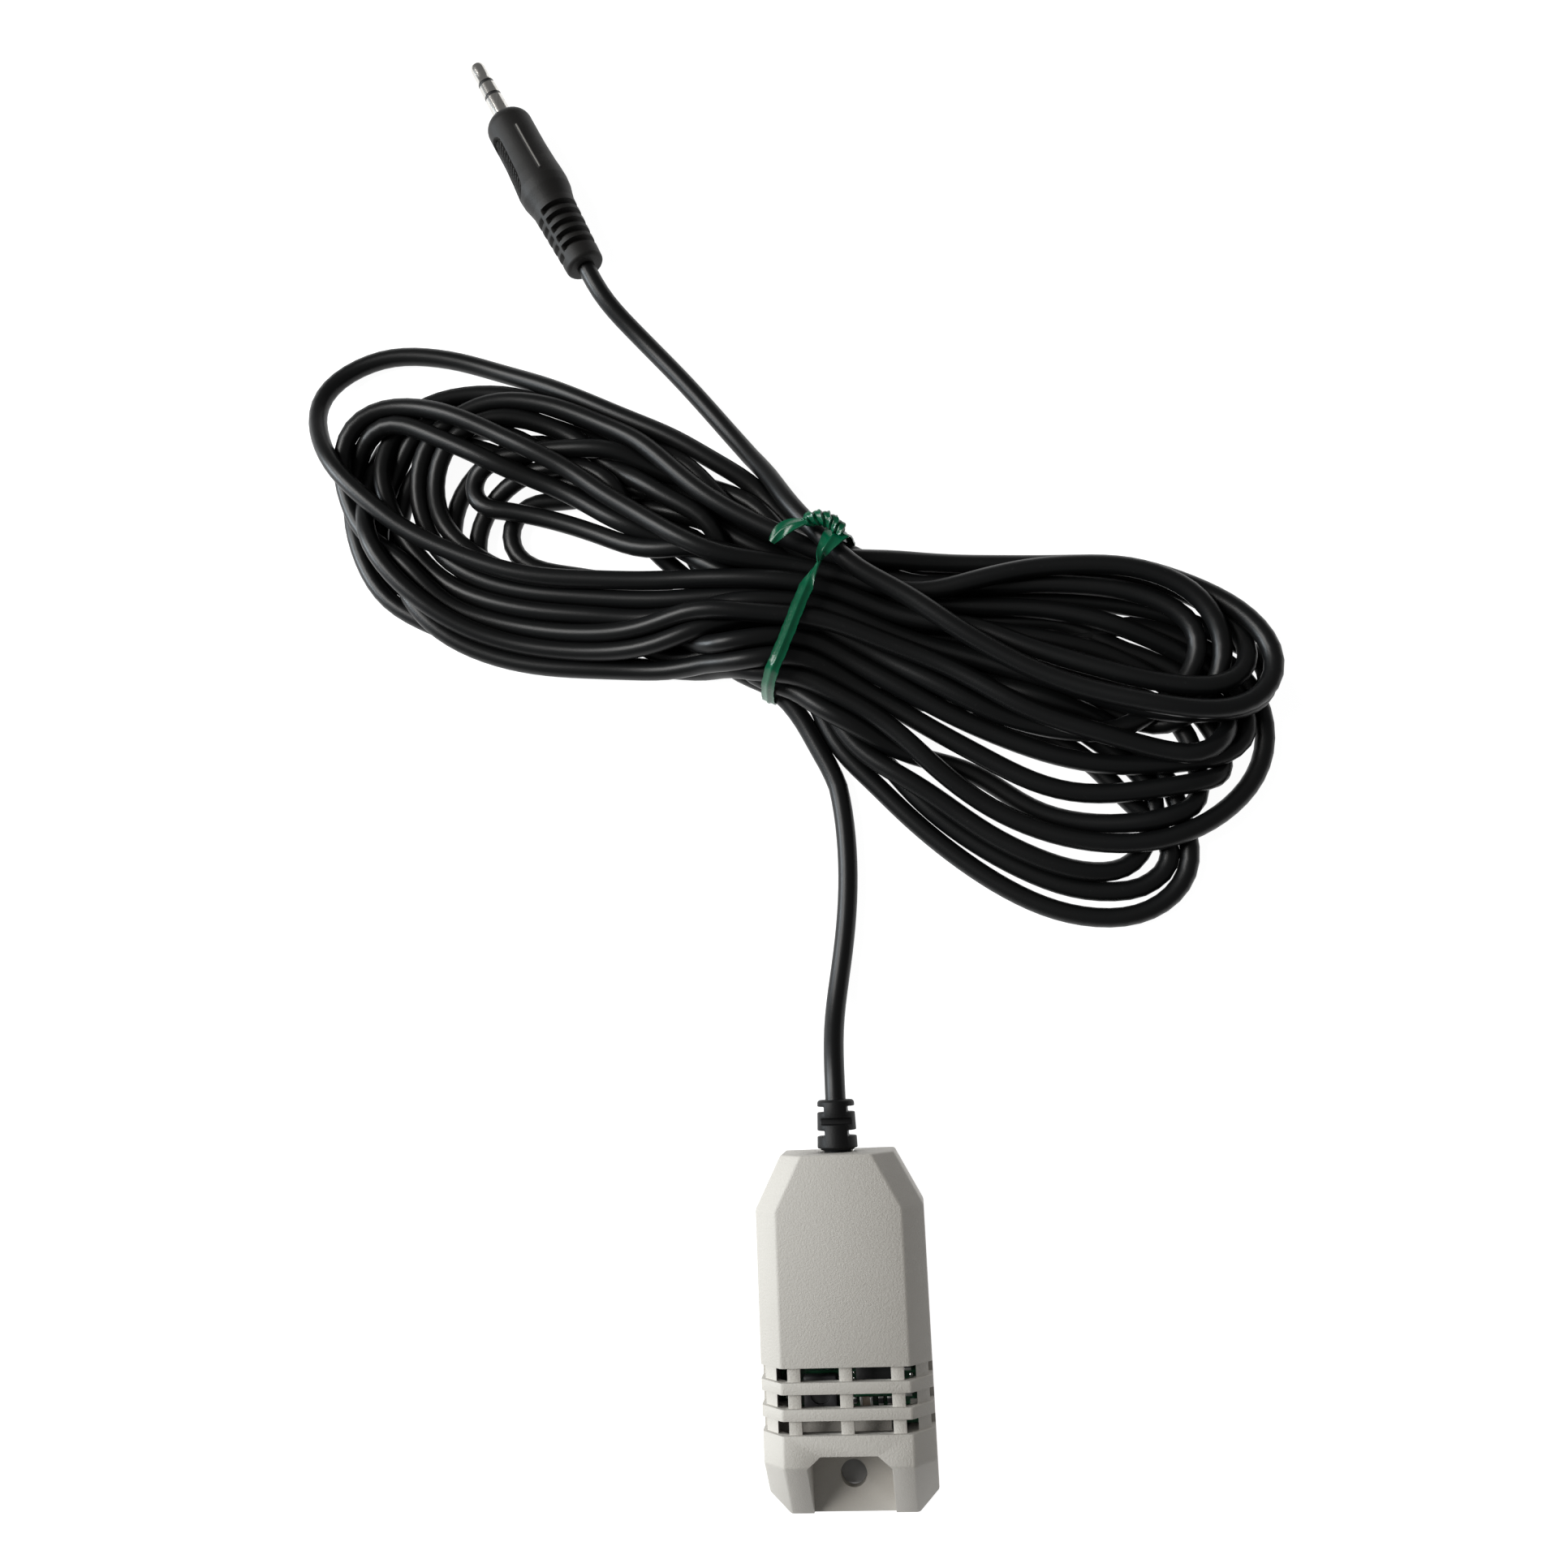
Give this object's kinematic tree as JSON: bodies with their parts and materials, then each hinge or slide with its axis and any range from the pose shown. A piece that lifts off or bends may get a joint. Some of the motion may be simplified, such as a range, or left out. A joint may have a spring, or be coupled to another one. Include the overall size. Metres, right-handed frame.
{
  "type": "temperature and humidity probe",
  "caption": "Wall-mounted temperature and humidity probe in a slotted, chamfered plastic housing, with a long thin cord tied in a hank and a moulded jack plug.",
  "frame": {"origin": "middle of the housing's back, on the plane of the wall or surface that it is fixed to", "axes": "+Y from the screw tab to the cable end, +Z out of the slotted front face, +X to the right as seen from the front with the cable end up"},
  "size_m": [0.1705, 0.2607, 0.0149],
  "materials": {
    "cover_plastic": "warm grey, finely textured",
    "screw_steel": "zinc-plated",
    "board_laminate": "green solder mask",
    "chip_plastic": "black moulding compound",
    "resistor_ceramic": "black glaze with tinned ends",
    "capacitor_ceramic": "brown with tinned ends",
    "sensor_plastic": "dark grey",
    "bead_coating": "amber coating",
    "wire_red": "satin",
    "wire_yellow": "satin",
    "wire_black": "satin",
    "relief_rubber": "satin black",
    "cord_jacket": "soft satin black",
    "tie_plastic": "glossy green",
    "plug_plastic": "satin black",
    "pin_nickel": "bright nickel plate",
    "pin_insulator": "black"
  },
  "bodies": {
    "root": {"front_cover": "cover_plastic", "back_cover": "cover_plastic", "cover_screw_left": "screw_steel", "cover_screw_right": "screw_steel", "circuit_board": "board_laminate", "controller_chip": "chip_plastic", "chip_resistor_1": "resistor_ceramic", "chip_resistor_2": "resistor_ceramic", "chip_resistor_3": "resistor_ceramic", "chip_capacitor_1": "capacitor_ceramic", "chip_capacitor_2": "capacitor_ceramic", "chip_capacitor_3": "capacitor_ceramic", "humidity_sensor": "sensor_plastic", "temperature_sensor": "bead_coating", "wire_supply": "wire_red", "wire_data": "wire_yellow", "wire_ground": "wire_black", "strain_relief": "relief_rubber", "cord_probe_lead": "cord_jacket", "cord_hank": "cord_jacket", "cord_plug_lead": "cord_jacket", "twist_tie": "tie_plastic", "plug_body": "plug_plastic", "plug_tip": "pin_nickel", "plug_ring": "pin_nickel", "plug_sleeve": "pin_nickel", "plug_insulator_front": "pin_insulator", "plug_insulator_rear": "pin_insulator"}
  },
  "joints": []
}
